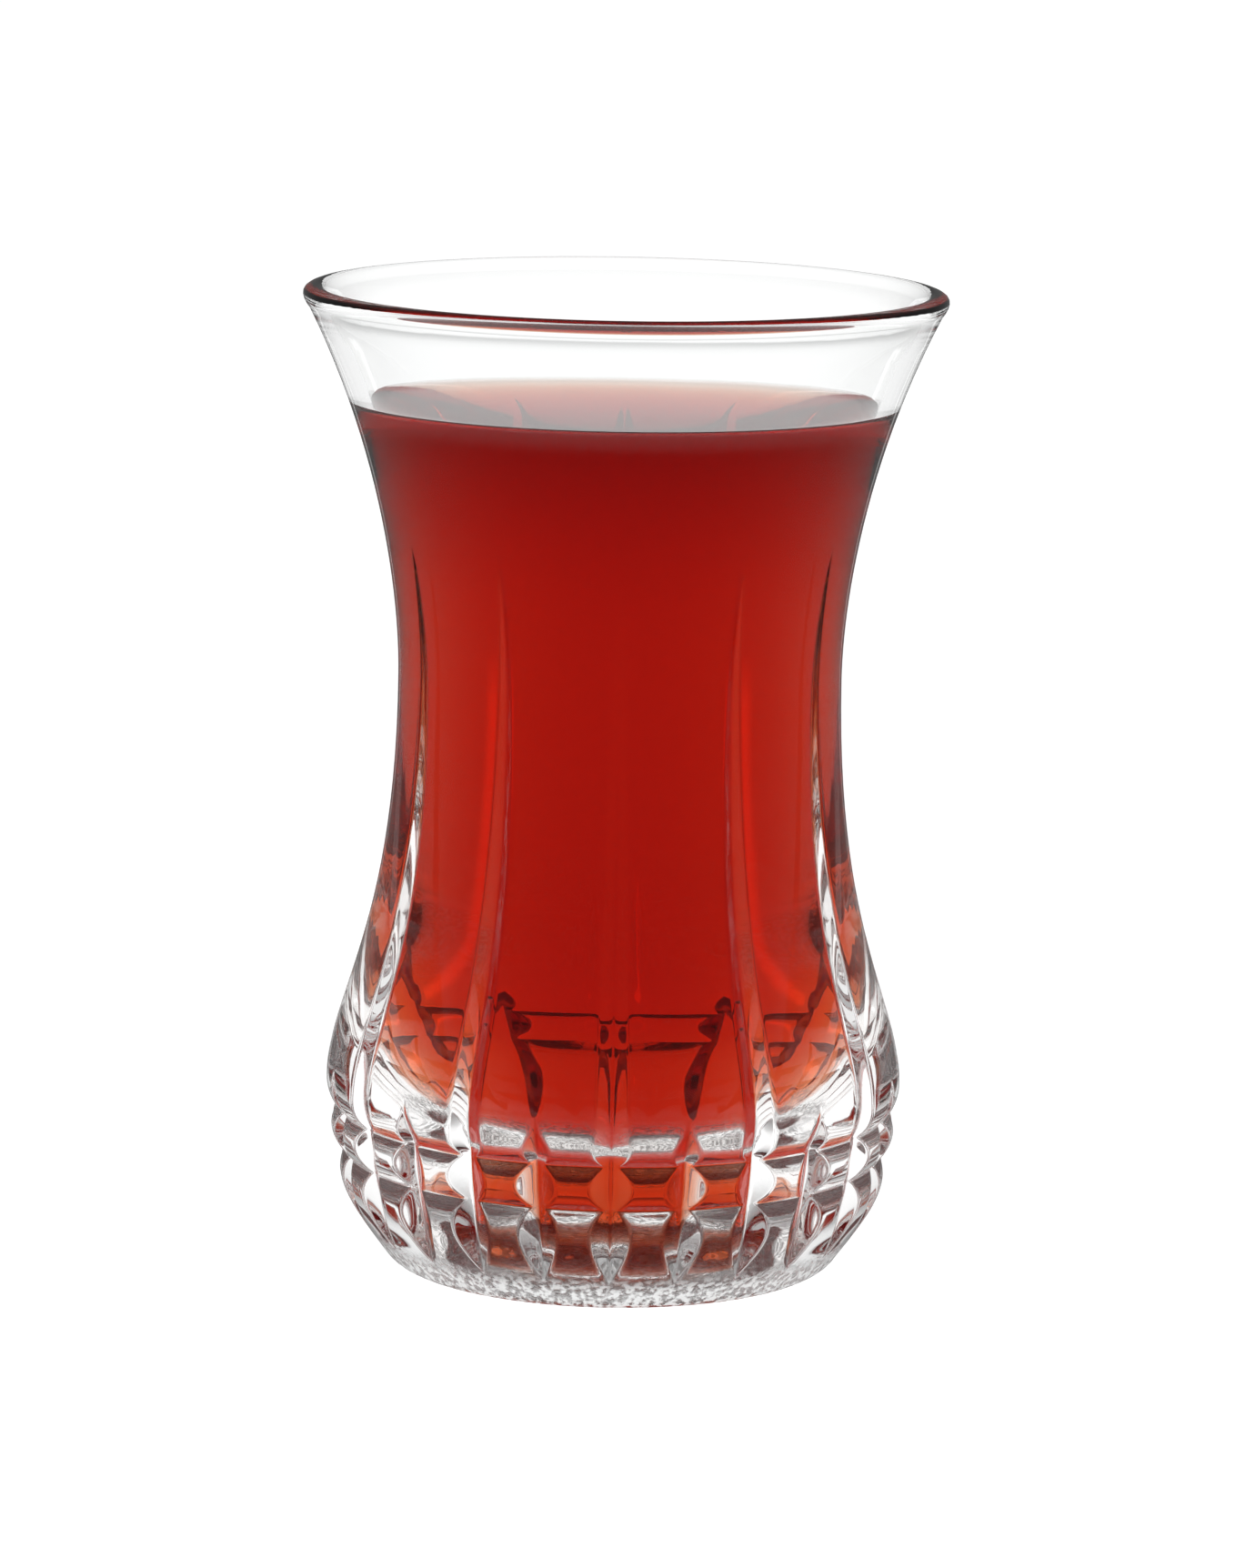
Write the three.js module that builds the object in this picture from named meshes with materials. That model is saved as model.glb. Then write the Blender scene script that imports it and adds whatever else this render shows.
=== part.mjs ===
import * as THREE from "three";
import { ParametricGeometry } from "three/addons/geometries/ParametricGeometry.js";

// Waisted tea glass with pressed cuts, filled with tea. Millimetres, +Z up, base on Z = 0.

// Outside of the glass
const height = 94;
const rimRadius = 30.5;
const lipThickness = 2.4;
const neckRadius = 21.15;
const neckHeight = 57;
const bellyRadius = 27.62;
const bellyHeight = 18;
const upperRingRadius = 26.45;
const upperRingHeight = 15.05;
const studRadius = 28.1;
const lowerRingRadius = 25.78;
const lowerRingHeight = 10.7;
const footRadius = 22.2;
const footHeight = 1.4;
const standRadius = 20;
const recessRadius = 15;
const recessDepth = 1;

// Inside of the glass
const boreNeckRadius = 19;
const boreNeckHeight = 56;
const boreFootRadius = 18.9;
const boreFootHeight = 28;
const shoulderRadius = 14.5;
const shoulderHeight = 15.4;
const wellRadius = 12.6;
const wellHeight = 10.5;
const floorHeight = 3.9;

// Cuts round the glass
const longCuts = 12;
const lowerCutSlope = 0.7;
const upperCutSlope = 0.63;
const upperCutDepth = 0.95;
const longCutTop = 70.5;
const shortCutTop = 18.6;
const cutBottom = 3.3;

// Tea
const teaLevel = 83.3;
const teaGap = 0.3;
const teaSides = 48;

const point = (r, z) => new THREE.Vector2(r, z);
const arc = (a, b, c) => new THREE.QuadraticBezierCurve(a, b, c);
const sweep = (a, b, c, d) => new THREE.CubicBezierCurve(a, b, c, d);

// Outline of the outside, from the standing ring up to the lip
const stand = point(standRadius, 0);
const foot = point(footRadius, footHeight);
const lowerRing = point(lowerRingRadius, lowerRingHeight);
const upperRing = point(upperRingRadius, upperRingHeight);
const belly = point(bellyRadius, bellyHeight);
const neck = point(neckRadius, neckHeight);
const lipOuter = point(rimRadius - 0.6, height - 2.1);
const lipTop = point(rimRadius - lipThickness / 2, height);
const lipInner = point(rimRadius - lipThickness - 0.3, height - 1.7);

const outside = [
  [arc(stand, point(standRadius + 1.3, 0), foot), 2],
  [sweep(foot, point(24.8, 5), point(27.3, 8), lowerRing), 7],
  [arc(lowerRing, point(studRadius, 12.9), upperRing), 6],
  [arc(upperRing, point(bellyRadius, 16), belly), 4],
  [sweep(belly, point(bellyRadius, 25), point(neckRadius, 32.3), neck), 8],
  [sweep(neck, point(neckRadius, 64.2), point(22.9, 77.9), lipOuter), 8],
  [arc(lipOuter, point(rimRadius + 0.9, height - 0.2), lipTop), 4],
  [arc(lipTop, point(rimRadius - lipThickness + 0.1, height), lipInner), 2],
];

// Outline of the bore, from the floor of the well over its shoulder up to the lip
const floor = point(0, floorHeight);
const well = point(wellRadius, wellHeight);
const shoulder = point(shoulderRadius, shoulderHeight);
const boreFoot = point(boreFootRadius, boreFootHeight);
const boreNeck = point(boreNeckRadius, boreNeckHeight);
const bore = [
  [sweep(floor, point(9.5, floorHeight), point(12, 5.5), well), 4],
  [sweep(well, point(12.8, 13.6), point(13.2, 14.7), shoulder), 2],
  [sweep(shoulder, point(17.6, 16.5), point(boreFootRadius, 19.5), boreFoot), 4],
  [sweep(boreFoot, point(boreFootRadius, 37), point(boreNeckRadius, 46), boreNeck), 2],
  [sweep(boreNeck, point(boreNeckRadius, 63.5), point(20.6, 77), lipInner), 5],
];

// Depth of a cut at a height: straight valleys between the rings, fading out up the neck
function valleyRadius(z) {
  const s = z - cutBottom;
  return 23.6 + 0.2432 * s - 0.00789 * s * (z - lowerRingHeight);
}
function toeFade(z) {
  return THREE.MathUtils.clamp((shortCutTop - z) / (shortCutTop - upperRingHeight), 0, 1);
}
function longCutDepth(r, z) {
  if (z < cutBottom || z > longCutTop) return 0;
  const left = Math.min(1, (longCutTop - z) / (longCutTop - shortCutTop));
  return THREE.MathUtils.lerp(upperCutDepth * left ** 0.7, Math.max(0, r - valleyRadius(z)), toeFade(z));
}
function shortCutDepth(r, z) {
  if (z < cutBottom || z > shortCutTop) return 0;
  return toeFade(z) * Math.max(0, r - valleyRadius(z));
}

// Half the angle that a cut takes up, opening out to an even spacing beyond its ends
const step = Math.PI / longCuts / 4;
function cutHalfAngle(depth, r, z, top) {
  const beyond = Math.max(z - top, cutBottom - z, 0);
  const spare = step * THREE.MathUtils.clamp(beyond / 8, 0.15, 1);
  const slope = THREE.MathUtils.lerp(upperCutSlope, lowerCutSlope, toeFade(z));
  return Math.max(depth / (slope * r), spare);
}

// Rows of the glass, from the middle of the underside round to the middle of the floor
const rows = [point(0, recessDepth), point(recessRadius * 0.6, recessDepth * 0.7), point(recessRadius, 0)];
const plainBelow = rows.length;
rows.push(stand);
for (const [curve, parts] of outside) rows.push(...curve.getPoints(parts).slice(1));
const plainAbove = rows.length;
for (const [curve, parts] of [...bore].reverse()) {
  rows.push(...curve.getPoints(parts).reverse().slice(1));
}

// One point of the glass: a row of the outline at one of eight places in each long cut's sector
function glassPoint(u, v, target) {
  const i = Math.round(v * (rows.length - 1));
  const place = Math.round(u * longCuts * 8) % (longCuts * 8);
  const side = (place % 8) - 4;
  const { x: r, y: z } = rows[i];
  const cut = i >= plainBelow && i < plainAbove;
  const longDepth = cut ? longCutDepth(r, z) : 0;
  const shortDepth = cut ? shortCutDepth(r, z) : 0;
  const longEdge = cut ? cutHalfAngle(longDepth, r, z, longCutTop) : step;
  const shortEdge = 4 * step - (cut ? cutHalfAngle(shortDepth, r, z, shortCutTop) : step);
  const angles = [0, longEdge, (longEdge + shortEdge) / 2, shortEdge, 4 * step];
  const depths = [longDepth, 0, 0, 0, shortDepth];
  const k = Math.abs(side);
  const centre = (Math.floor(place / 8) + 0.5) * 8 * step;
  const phi = centre + Math.sign(side) * angles[k] - 4 * step - Math.PI / 2;
  const radius = r - depths[k];
  target.set(radius * Math.cos(phi), radius * Math.sin(phi), z);
}
const glassGeometry = new ParametricGeometry(glassPoint, longCuts * 8, rows.length - 1);

// Tea: the bore drawn in by the gap, up to the level
const teaRows = [];
for (const [curve, parts] of bore) {
  for (let i = 0; i <= parts; i++) {
    const at = curve.getPoint(i / parts);
    const along = curve.getTangent(i / parts);
    const r = Math.max(0, at.x - teaGap * along.y);
    const z = at.y + teaGap * along.x;
    const last = teaRows[teaRows.length - 1];
    if (z < teaLevel - 1 && (!last || z > last.y + 0.05)) teaRows.push(point(r, z));
  }
}
teaRows[0].x = 0;
let levelAt = 0;
const mouth = bore[bore.length - 1][0];
while (mouth.getPoint(levelAt).y < teaLevel) levelAt += 0.001;
teaRows.push(point(mouth.getPoint(levelAt).x - teaGap * 1.15, teaLevel));
teaRows.push(point(0, teaLevel));
const teaGeometry = new THREE.LatheGeometry(teaRows, teaSides).rotateX(Math.PI / 2);

function piece(name, geometry, color, roughness) {
  const material = new THREE.MeshStandardMaterial({ color, roughness, metalness: 0 });
  const mesh = new THREE.Mesh(geometry, material);
  mesh.name = name;
  return mesh;
}

const group = new THREE.Group();
group.add(piece("glass", glassGeometry, 0xe4ecec, 0.05));
group.add(piece("tea", teaGeometry, 0x9c1c10, 0.1));

export default group;
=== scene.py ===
import math

import bpy
import numpy as np
from mathutils import Matrix, Vector


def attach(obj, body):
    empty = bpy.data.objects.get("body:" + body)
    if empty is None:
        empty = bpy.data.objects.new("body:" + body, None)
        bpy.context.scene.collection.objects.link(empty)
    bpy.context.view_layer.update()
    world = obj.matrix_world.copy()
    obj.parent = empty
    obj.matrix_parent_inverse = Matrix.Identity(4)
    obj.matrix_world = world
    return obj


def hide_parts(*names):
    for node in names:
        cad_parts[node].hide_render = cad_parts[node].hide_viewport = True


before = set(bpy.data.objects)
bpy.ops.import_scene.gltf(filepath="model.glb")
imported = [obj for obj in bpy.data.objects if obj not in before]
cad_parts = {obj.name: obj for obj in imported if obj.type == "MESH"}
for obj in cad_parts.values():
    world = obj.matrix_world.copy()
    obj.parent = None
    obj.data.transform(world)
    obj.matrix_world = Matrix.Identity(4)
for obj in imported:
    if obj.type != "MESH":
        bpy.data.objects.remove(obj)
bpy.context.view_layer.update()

mm = 0.001


class Wire:  # one shader socket, with sums written as Python
    def __init__(self, tree, socket=None):
        self.tree = tree
        self.socket = socket

    def make(self, kind, settings=None, sockets=None, out=0):
        node = self.tree.nodes.new(kind)
        for key, value in (settings or {}).items():
            setattr(node, key, value)
        for key, value in (sockets or {}).items():
            if isinstance(value, Wire):
                self.tree.links.new(value.socket, node.inputs[key])
            else:
                node.inputs[key].default_value = value
        return Wire(self.tree, node.outputs[out])

    def sum(self, how, first, second):
        return self.make("ShaderNodeMath", {"operation": how}, {0: first, 1: second})

    def __add__(self, other):
        return self.sum("ADD", self, other)

    def __radd__(self, other):
        return self.sum("ADD", other, self)

    def __sub__(self, other):
        return self.sum("SUBTRACT", self, other)

    def __rsub__(self, other):
        return self.sum("SUBTRACT", other, self)

    def __mul__(self, other):
        return self.sum("MULTIPLY", self, other)

    def __rmul__(self, other):
        return self.sum("MULTIPLY", other, self)

    def between(self, low, high):  # 0 below low, 1 above high, smooth in between
        return self.make("ShaderNodeMapRange", {"interpolation_type": "SMOOTHSTEP"},
                         {"Value": self, "From Min": low, "From Max": high})


def newMaterial(name):
    mat = bpy.data.materials.new(name)
    mat.use_nodes = True
    mat.node_tree.nodes.clear()
    return mat, Wire(mat.node_tree)


def finishMaterial(w, surface, body=None):
    end = w.tree.nodes.new("ShaderNodeOutputMaterial")
    w.tree.links.new(surface.socket, end.inputs["Surface"])
    if body:
        w.tree.links.new(body.socket, end.inputs["Volume"])


def objectPlace(w):  # object coordinates and their height
    place = w.make("ShaderNodeTexCoord", out="Object")
    return place, w.make("ShaderNodeSeparateXYZ", sockets={0: place}, out="Z")


def arc(a, b, c, steps):  # rounded run through one corner point
    return (a, [a[i] + (b[i] - a[i]) * 2 / 3 for i in (0, 1)],
            [c[i] + (b[i] - c[i]) * 2 / 3 for i in (0, 1)], c, steps)


def line(a, b, steps):
    return arc(a, [(a[i] + b[i]) / 2 for i in (0, 1)], b, steps)


def drawOutline(name, runs):  # half section in the XZ plane, one spline for each run
    bpy.ops.object.select_all(action="DESELECT")
    bpy.ops.curve.primitive_bezier_curve_add(location=(0, 0, 0))
    outline = bpy.context.object
    outline.name = name
    outline.data.name = name
    outline.data.splines.clear()
    for start, leave, arrive, end, steps in runs:
        run = outline.data.splines.new("BEZIER")
        run.bezier_points.add(1)
        run.resolution_u = steps
        first, last = run.bezier_points
        for knot, at, left, right in ((first, start, start, leave), (last, end, arrive, end)):
            knot.handle_left_type = knot.handle_right_type = "FREE"
            knot.co = (at[0] * mm, 0, at[1] * mm)
            knot.handle_left = (left[0] * mm, 0, left[1] * mm)
            knot.handle_right = (right[0] * mm, 0, right[1] * mm)
    bpy.ops.object.convert(target="MESH")
    bpy.ops.object.mode_set(mode="EDIT")
    bpy.ops.mesh.select_all(action="SELECT")
    bpy.ops.mesh.remove_doubles(threshold=0.002 * mm)
    bpy.ops.object.mode_set(mode="OBJECT")
    return outline


def softenCorners(piece, corners, width):  # small radius at named points of the outline
    bpy.ops.object.mode_set(mode="EDIT")
    bpy.ops.mesh.select_all(action="DESELECT")
    bpy.ops.object.mode_set(mode="OBJECT")
    for v in piece.data.vertices:
        v.select = any(math.hypot(v.co.x / mm - r, v.co.z / mm - z) < 0.01 for r, z in corners)
    bpy.ops.object.mode_set(mode="EDIT")
    bpy.ops.mesh.bevel(offset=width * mm, segments=3, affect="VERTICES")
    bpy.ops.object.mode_set(mode="OBJECT")


def spinRound(piece, steps):  # turn the half section round the axis into a closed skin
    bpy.ops.object.mode_set(mode="EDIT")
    bpy.ops.mesh.select_all(action="SELECT")
    bpy.ops.mesh.spin(steps=steps, angle=2 * math.pi, center=(0, 0, 0), axis=(0, 0, 1))
    bpy.ops.mesh.select_all(action="SELECT")
    bpy.ops.mesh.remove_doubles(threshold=0.004 * mm)
    bpy.ops.mesh.normals_make_consistent(inside=False)
    bpy.ops.object.mode_set(mode="OBJECT")


def readPoints(piece):
    at = np.empty(len(piece.data.vertices) * 3)
    piece.data.vertices.foreach_get("co", at)
    return at.reshape(-1, 3) / mm


def writePoints(piece, at):
    piece.data.vertices.foreach_set("co", (at * mm).ravel())
    piece.data.update()


def outlineTable(runs):  # radius and height along runs, for reading one from the other
    t = np.linspace(0, 1, 60)[:, None]
    rows = [(1 - t) ** 3 * np.array(a) + 3 * t * (1 - t) ** 2 * np.array(b)
            + 3 * t ** 2 * (1 - t) * np.array(c) + t ** 3 * np.array(d) for a, b, c, d, _ in runs]
    return np.concatenate(rows)


# glass: outline of the outside and of the bore, as (radius, height) in mm
glass = {
    "stand": (20, 0), "foot": (22.2, 1.4), "recess": 15, "recessDepth": 1.0,
    "lowerRing": (25.78, 10.7), "upperRing": (26.45, 15.05), "belly": (27.62, 18),
    "neck": (21.15, 57), "lipOuter": (29.9, 91.9), "lipTop": (29.3, 94), "lipInner": (27.8, 92.3),
    "floor": (0, 3.9), "well": (12.6, 10.5), "shoulder": (14.5, 15.4), "boreFoot": (18.9, 28),
    "boreNeck": (19, 56), "ringRadius": 0.16,
}
g = glass
boreRuns = [
    (g["floor"], (9.5, 3.9), (12, 5.5), g["well"], 12),
    (g["well"], (12.8, 13.6), (13.2, 14.7), g["shoulder"], 8),
    (g["shoulder"], (17.6, 16.5), (18.9, 19.5), g["boreFoot"], 10),
    (g["boreFoot"], (18.9, 37), (19, 46), g["boreNeck"], 8),
    (g["boreNeck"], (19, 63.5), (20.6, 77), g["lipInner"], 16),
]
glassRuns = [
    arc((0, g["recessDepth"]), (9, g["recessDepth"]), (g["recess"], 0), 8),
    line((g["recess"], 0), g["stand"], 2),
    arc(g["stand"], (21.3, 0), g["foot"], 6),
    (g["foot"], (24.8, 5), (27.3, 8), g["lowerRing"], 20),
    arc(g["lowerRing"], (28.1, 12.9), g["upperRing"], 16),
    arc(g["upperRing"], (27.62, 16), g["belly"], 10),
    (g["belly"], (27.62, 25), (21.15, 32.3), g["neck"], 26),
    (g["neck"], (21.15, 64.2), (22.9, 77.9), g["lipOuter"], 24),
    arc(g["lipOuter"], (31.4, 93.8), g["lipTop"], 8),
    arc(g["lipTop"], (28.2, 94), g["lipInner"], 6),
] + boreRuns

# cuts: mitre cuts up the glass, long ones every 30 degrees and short ones between them
cuts = {
    "count": 12, "slope": 0.7, "upperSlope": 0.63, "upperDepth": 0.95,
    "longTop": 70.5, "shortTop": 18.6, "bottom": 3.3, "fade": 0.7,
    "valley": (23.6, 0.2432, 0.00789), "valleyRadius": 0.1, "edgeRadius": 0.07,
    "acrossWall": (0, 0.05, 0.14, 0.34, 0.62, 0.85, 0.95, 1),
    "acrossFace": (0, 0.04, 0.12, 0.3, 0.5, 0.7, 0.88, 0.96, 1),
}


def toeFade(z):  # 1 under the upper ring, 0 from the top of the short cuts
    ring = glass["upperRing"][1]
    return np.clip((cuts["shortTop"] - z) / (cuts["shortTop"] - ring), 0, 1)


def cutDepths(r, z):  # depth of the long and of the short cuts where the outline is r wide
    c = cuts
    s = z - c["bottom"]
    foot, lean, bow = c["valley"]
    valley = foot + lean * s - bow * s * (z - glass["lowerRing"][1])
    low = np.clip(r - valley, 0, None)
    left = np.clip((c["longTop"] - z) / (c["longTop"] - c["shortTop"]), 0, 1)
    upper = c["upperDepth"] * left ** c["fade"]
    live = (z > c["bottom"]) & (z < c["longTop"])
    long = upper + (low - upper) * toeFade(z)
    return np.where(live, long, 0), np.where(live, low * toeFade(z), 0)


def pressCuts(piece, boreTable, columns):  # columns from the middle of a long cut to a short one
    c = cuts
    at = readPoints(piece)
    r = np.hypot(at[:, 0], at[:, 1])
    z = at[:, 2]
    bore = np.interp(z, boreTable[:, 1], boreTable[:, 0], left=0)
    outer = (z > 0.5) & (z < 91) & (r > bore + 0.7)
    sector = 2 * math.pi / c["count"]
    phi = np.arctan2(at[:, 1], at[:, 0]) + math.pi / 2
    turn = np.round(phi / sector)
    side = phi - turn * sector
    long, short = cutDepths(r, z)
    slope = c["upperSlope"] + (c["slope"] - c["upperSlope"]) * toeFade(z)

    def halfAngle(depth, top):  # half a cut's width, easing to even spacing past its ends
        past = np.clip(np.maximum(z - top, c["bottom"] - z) / 8, 0.12, 1)
        return np.maximum(depth / (slope * np.maximum(r, 1)), sector / 8 * past)

    wall, face = np.array(c["acrossWall"]), np.array(c["acrossFace"])
    longHalf, shortHalf = halfAngle(long, c["longTop"]), halfAngle(short, c["shortTop"])
    step = np.round(np.abs(side) / (sector / 2) * columns).astype(int)
    inLong = step < len(wall)
    inShort = step > columns - len(wall)
    middle = np.clip(step - len(wall) + 1, 0, len(face) - 1)
    angle = np.where(inLong, wall[np.clip(step, 0, len(wall) - 1)] * longHalf,
                     longHalf + face[middle] * (sector / 2 - longHalf - shortHalf))
    fromShort = wall[np.clip(columns - step, 0, len(wall) - 1)] * shortHalf
    angle = np.where(inShort, sector / 2 - fromShort, angle)

    def bite(depth, away):  # rounded V across a cut
        run = np.hypot(away * r, c["valleyRadius"]) - c["valleyRadius"]
        over = depth - slope * run
        soft = np.minimum(c["edgeRadius"], depth * 0.3)
        return np.where(depth > 0, (over + np.hypot(over, soft)) / 2, 0)

    depth = np.maximum(bite(long, angle), bite(short, sector / 2 - angle))
    newR = r - depth
    newPhi = turn * sector + np.sign(side) * angle - math.pi / 2
    at[outer, 0] = (newR * np.cos(newPhi))[outer]
    at[outer, 1] = (newR * np.sin(newPhi))[outer]
    writePoints(piece, at)


boreTable = outlineTable(boreRuns)
glassPiece = drawOutline("teaGlass", glassRuns)
softenCorners(glassPiece, [g["lowerRing"], g["upperRing"]], g["ringRadius"])
columns = len(cuts["acrossWall"]) * 2 + len(cuts["acrossFace"]) - 3
spinRound(glassPiece, columns * 2 * cuts["count"])
# the spin starts on +X, and a long cut has to face the front: both are multiples of a sector
pressCuts(glassPiece, boreTable, columns)
bpy.ops.object.shade_smooth_by_angle(angle=math.radians(40))
print("glass", len(glassPiece.data.polygons), "faces")

# tea: fills the bore, reaching a little into the wall, with a meniscus at the level
tea = {"level": 83.3, "intoWall": 0.06, "meniscus": 0.35, "meniscusWidth": 0.9, "columns": 192}


def teaRuns():
    level, out = tea["level"], tea["intoWall"]
    runs = []
    for a, b, c, d, steps in boreRuns[:-1]:
        side, down = (out, 0) if a[0] else (0, out)
        runs.append(((a[0] + side, a[1] - down), (b[0] + out, b[1] - down),
                     (c[0] + out, c[1]), (d[0] + out, d[1]), steps))
    a, b, c, d, steps = boreRuns[-1]
    wallTop = level + tea["meniscus"]
    lo, hi = 0.0, 1.0
    for _ in range(40):  # where the bore reaches the top of the meniscus
        t = (lo + hi) / 2
        zAt = ((1 - t) ** 3 * a[1] + 3 * t * (1 - t) ** 2 * b[1]
               + 3 * t * t * (1 - t) * c[1] + t ** 3 * d[1])
        lo, hi = (t, hi) if zAt < wallTop else (lo, t)
    a, b, c, d = (np.array(p) + (out, 0) for p in (a, b, c, d))
    ab, bc, cd = a + (b - a) * t, b + (c - b) * t, c + (d - c) * t
    abc, bcd = ab + (bc - ab) * t, bc + (cd - bc) * t
    edge = abc + (bcd - abc) * t
    runs.append((tuple(a), tuple(ab), tuple(abc), tuple(edge), 20))
    wide = tea["meniscusWidth"]
    inner = (edge[0] - 4 * wide, level)
    runs.append((tuple(edge), (edge[0] - 0.5 * wide, level + 0.25 * tea["meniscus"]),
                 (edge[0] - 1.5 * wide, level), inner, 14))
    runs.append(line(inner, (0, level), 6))
    return runs


teaPiece = drawOutline("blackTea", teaRuns())
spinRound(teaPiece, tea["columns"])
bpy.ops.object.shade_smooth_by_angle(angle=math.radians(50))
print("tea", len(teaPiece.data.polygons), "faces")

# wetted bore: marked on the glass, so that it doesn't mirror under the level
at = readPoints(glassPiece)
r = np.hypot(at[:, 0], at[:, 1])
boreAt = np.interp(at[:, 2], boreTable[:, 1], boreTable[:, 0])
wet = (at[:, 2] > g["floor"][1] - 0.1) & (at[:, 2] < tea["level"] + 0.5)
wet = wet & (r < boreAt + 0.5)
mark = glassPiece.data.attributes.new("wet", "FLOAT", "POINT")
mark.data.foreach_set("value", wet.astype(np.float32))

# clear glass
clear = {
    "ior": 1.5, "wave": 0.02, "waveSize": 9.0,
    "stipple": 0.1, "stippleSize": 0.6, "stippleTop": 4.2, "stippleRough": 0.3,
    "frost": 0.7, "frostGrain": (0.4, 0.6), "frostRough": 0.5,
}


def glassMaterial():
    mat, w = newMaterial("clearGlass")
    place, height = objectPlace(w)
    wave = w.make("ShaderNodeTexNoise", sockets={
        "Vector": place, "Scale": 1 / (clear["waveSize"] * mm), "Detail": 1.0})
    grain = w.make("ShaderNodeTexNoise", sockets={
        "Vector": place, "Scale": 1 / (clear["stippleSize"] * mm), "Detail": 3.0})
    low = 1 - height.between(0.4 * clear["stippleTop"] * mm, clear["stippleTop"] * mm)
    relief = wave * (clear["wave"] * mm) + grain * low * (clear["stipple"] * mm)
    bump = w.make("ShaderNodeBump", sockets={
        "Height": relief, "Strength": 1.0, "Distance": 1.0}, out="Normal")
    dry = w.make("ShaderNodeBsdfPrincipled", sockets={
        "Base Color": (0.985, 0.99, 0.988, 1), "Roughness": low * grain * clear["stippleRough"],
        "IOR": clear["ior"], "Transmission Weight": 1.0, "Normal": bump})
    wetSide = w.make("ShaderNodeBsdfPrincipled", sockets={
        "Base Color": (1, 1, 1, 1), "Roughness": 0.0, "IOR": clear["ior"],
        "Transmission Weight": 1.0, "Specular Tint": (0, 0, 0, 1)})
    frosted = w.make("ShaderNodeBsdfPrincipled", sockets={
        "Base Color": (0.95, 0.96, 0.96, 1), "Roughness": clear["frostRough"],
        "IOR": clear["ior"], "Normal": bump})
    frost = low * grain.between(*clear["frostGrain"]) * clear["frost"]
    outer = w.make("ShaderNodeMixShader", sockets={0: frost, 1: dry, 2: frosted})
    wetMark = w.make("ShaderNodeAttribute", {"attribute_name": "wet"}, out="Fac")
    finishMaterial(w, w.make("ShaderNodeMixShader", sockets={0: wetMark, 1: outer, 2: wetSide}))
    return mat


# brewed tea: light lost per metre in red, green and blue
brew = {"ior": 1.333, "loss": (29.0, 150.0, 230.0)}


def teaMaterial():
    mat, w = newMaterial("brewedTea")
    height = objectPlace(w)[1]
    top = height.between((tea["level"] - 0.2) * mm, (tea["level"] - 0.05) * mm)
    free = w.make("ShaderNodeBsdfPrincipled", sockets={
        "Base Color": (1, 1, 1, 1), "Roughness": 0.0, "IOR": brew["ior"], "Transmission Weight": 1.0})
    held = w.make("ShaderNodeBsdfPrincipled", sockets={
        "Base Color": (1, 1, 1, 1), "Roughness": 0.0, "IOR": brew["ior"],
        "Transmission Weight": 1.0, "Specular Tint": (0, 0, 0, 1)})
    surface = w.make("ShaderNodeMixShader", sockets={0: top, 1: held, 2: free})
    most = max(brew["loss"])
    body = w.make("ShaderNodeVolumeAbsorption", sockets={
        "Color": tuple(1 - x / most for x in brew["loss"]) + (1,), "Density": most})
    finishMaterial(w, surface, body)
    return mat


glassPiece.data.materials.clear()
glassPiece.data.materials.append(glassMaterial())
teaPiece.data.materials.clear()
teaPiece.data.materials.append(teaMaterial())

for piece, node in ((glassPiece, "glass"), (teaPiece, "tea")):
    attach(piece, "root")
    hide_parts(node)

# floor: pale, for the camera alone, because the glass takes its light from the dome
stage = {"size": 8.0, "height": -0.4, "colour": (0.3, 0.3, 0.3, 1), "roughness": 0.9, "glow": 1.0}
bpy.ops.object.select_all(action="DESELECT")
bpy.ops.mesh.primitive_plane_add(size=stage["size"], location=(0, 0, stage["height"] * mm))
floor = bpy.context.object
floor.name = "floor"
mat, w = newMaterial("floor")
finishMaterial(w, w.make("ShaderNodeBsdfPrincipled", sockets={
    "Base Color": stage["colour"], "Roughness": stage["roughness"], "Specular IOR Level": 0.0,
    "Emission Color": (1, 1, 1, 1), "Emission Strength": stage["glow"]}))
floor.data.materials.append(mat)
floor.visible_glossy = floor.visible_transmission = False

# soft panels for the frosted base, in metres, kept out of what the glass mirrors and shows
lights = {
    "topPanel": {"place": (0, 0.1, 1.3), "aim": (0, 0, 0), "size": (0.5, 0.5), "glow": 1.0},
    "fillPanel": {"place": (0, -1.2, 0.35), "aim": (0, 0, 0.02), "size": (0.8, 0.5), "glow": 6.0},
}
for name, panel in lights.items():
    bpy.ops.object.light_add(type="AREA", location=panel["place"])
    lamp = bpy.context.object
    lamp.name = name
    lamp.data.shape = "RECTANGLE"
    lamp.data.size, lamp.data.size_y = panel["size"]
    lamp.data.energy = panel["glow"] * math.pi * panel["size"][0] * panel["size"][1]
    towards = Vector(panel["aim"]) - lamp.location
    lamp.rotation_euler = towards.to_track_quat("-Z", "Y").to_euler()
    lamp.visible_glossy = lamp.visible_transmission = False

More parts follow.
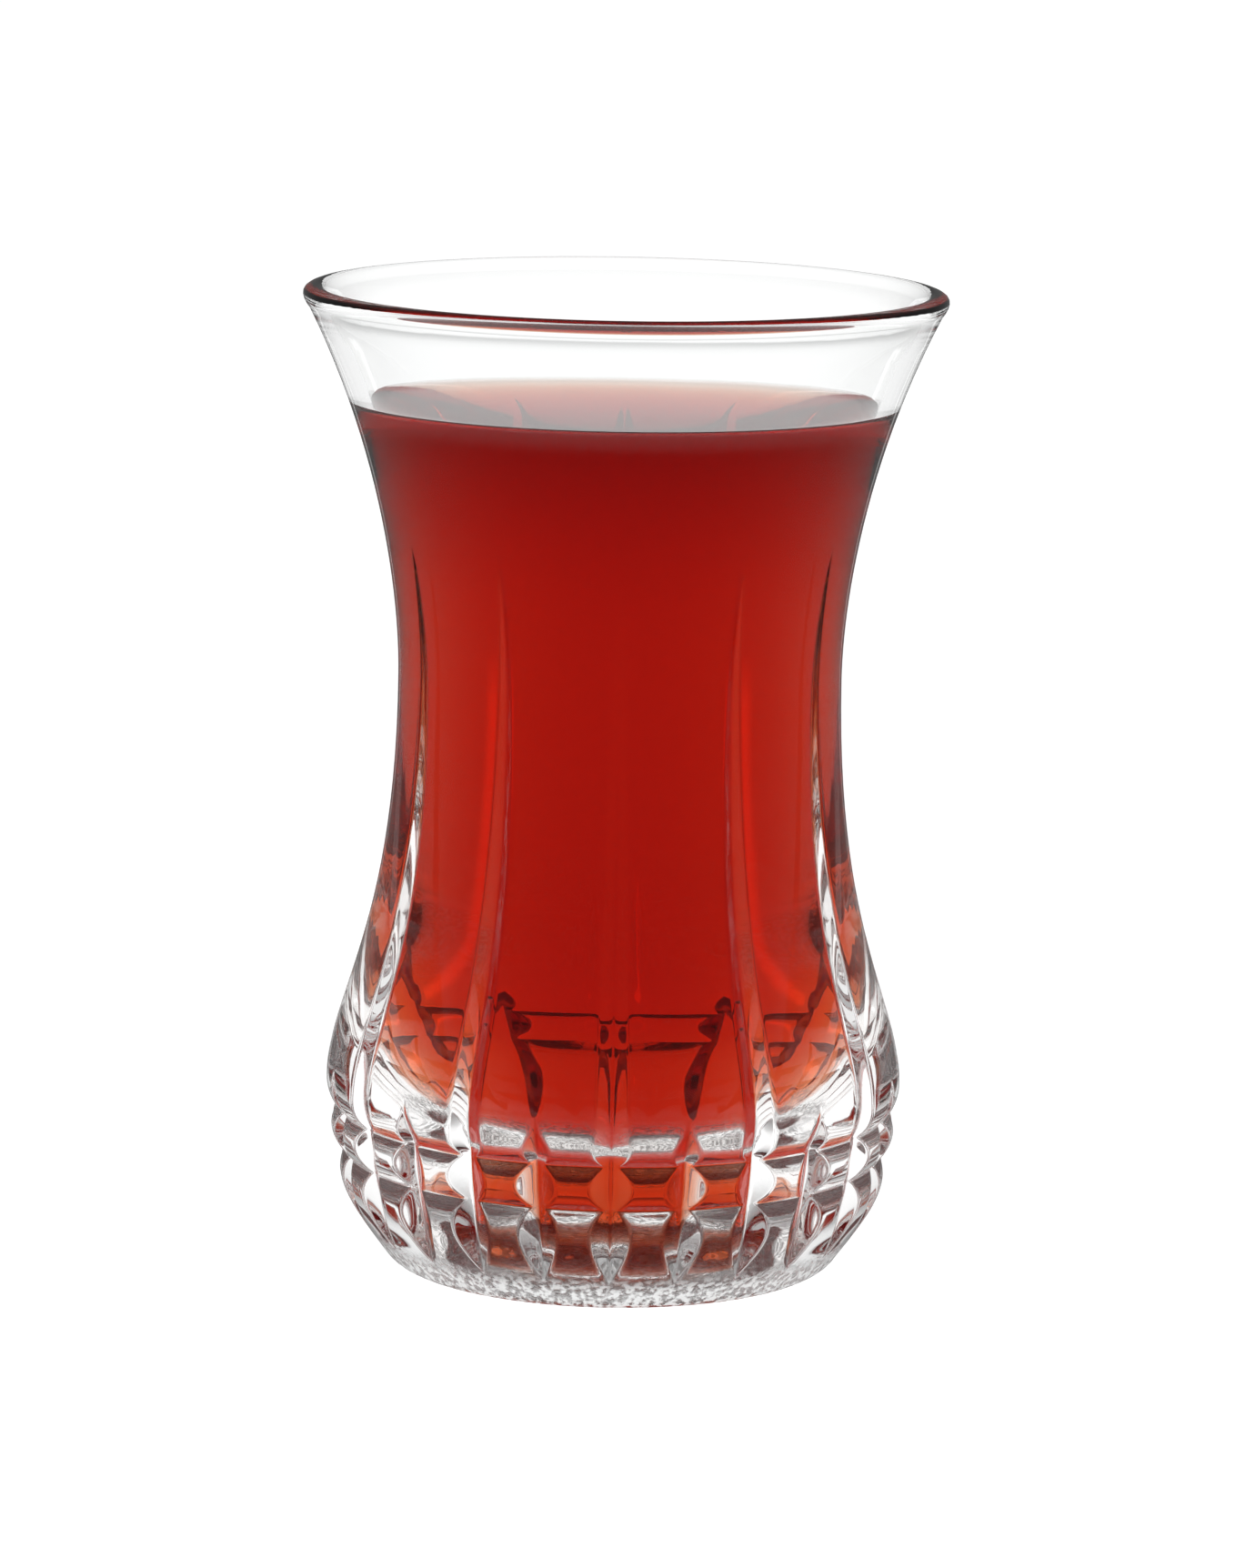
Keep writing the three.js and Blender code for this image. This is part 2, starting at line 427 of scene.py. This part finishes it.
# studio dome: what light through the glass comes from, and a dimmer room for what its skin mirrors
dome = {
    "behind": {"rest": 0.5, "around": 0.92, "back": 1.16, "strips": 0.5},
    "mirrored": {"rest": 0.1, "around": 0.1, "back": 0.14, "strips": 0.5},
    "turn": (0.2, 1.05), "horizon": (-0.08, 0.3), "table": (-0.25, -0.02),
    "stripIn": (0.25, 0.28), "stripOut": (0.29, 0.32),
    "stripDepth": (0.5, 0.8), "stripTop": (-0.2, -0.1),
}
world = bpy.data.worlds.new("studio")
bpy.context.scene.world = world
world.use_nodes = True
w = Wire(world.node_tree)
way = w.make("ShaderNodeTexCoord", out="Generated")
depth = w.make("ShaderNodeSeparateXYZ", sockets={0: way}, out="Y")
rise = w.make("ShaderNodeSeparateXYZ", sockets={0: way}, out="Z")
across = w.sum("ABSOLUTE", w.make("ShaderNodeSeparateXYZ", sockets={0: way}, out="X"), 0)


def domeGlow(part):  # pale table all round, brightest low behind the glass, with two strips there
    glow = part["around"] + (part["rest"] - part["around"]) * rise.between(*dome["table"])
    low = depth.between(*dome["turn"]) * (1 - rise.between(*dome["horizon"]))
    glow = glow + (part["back"] - glow) * low
    strips = across.between(*dome["stripIn"]) * (1 - across.between(*dome["stripOut"]))
    strips = strips * depth.between(*dome["stripDepth"]) * (1 - rise.between(*dome["stripTop"]))
    return glow + part["strips"] * strips


mirrored = domeGlow(dome["mirrored"])
through = w.make("ShaderNodeLightPath", out="Transmission Depth").between(0.5, 1)
glow = mirrored + (domeGlow(dome["behind"]) - mirrored) * through
backdrop = world.node_tree.nodes["Background"]
world.node_tree.links.new(glow.socket, backdrop.inputs["Strength"])
backdrop.inputs["Color"].default_value = (1, 1, 1, 1)

# camera: the photo's view, in mm and degrees
shot = {"place": (0.9, -627.2, 159.1), "pitch": 10.19, "roll": 1.0, "lens": 152.9}
bpy.ops.object.camera_add(location=[v * mm for v in shot["place"]])
camera = bpy.context.object
camera.data.lens = shot["lens"]
camera.data.sensor_width = 36
tilt = Matrix.Rotation(math.radians(90 - shot["pitch"]), 4, "X")
roll = Matrix.Rotation(math.radians(shot["roll"]), 4, "Z")
camera.rotation_euler = (tilt @ roll).to_euler()
camera.data.clip_start = 0.01
scene = bpy.context.scene
scene.camera = camera
scene.view_settings.view_transform = "Standard"
scene.cycles.max_bounces = 32
scene.cycles.transmission_bounces = 32
scene.cycles.glossy_bounces = 12
scene.cycles.sample_clamp_indirect = 6.0
print("camera and light set")
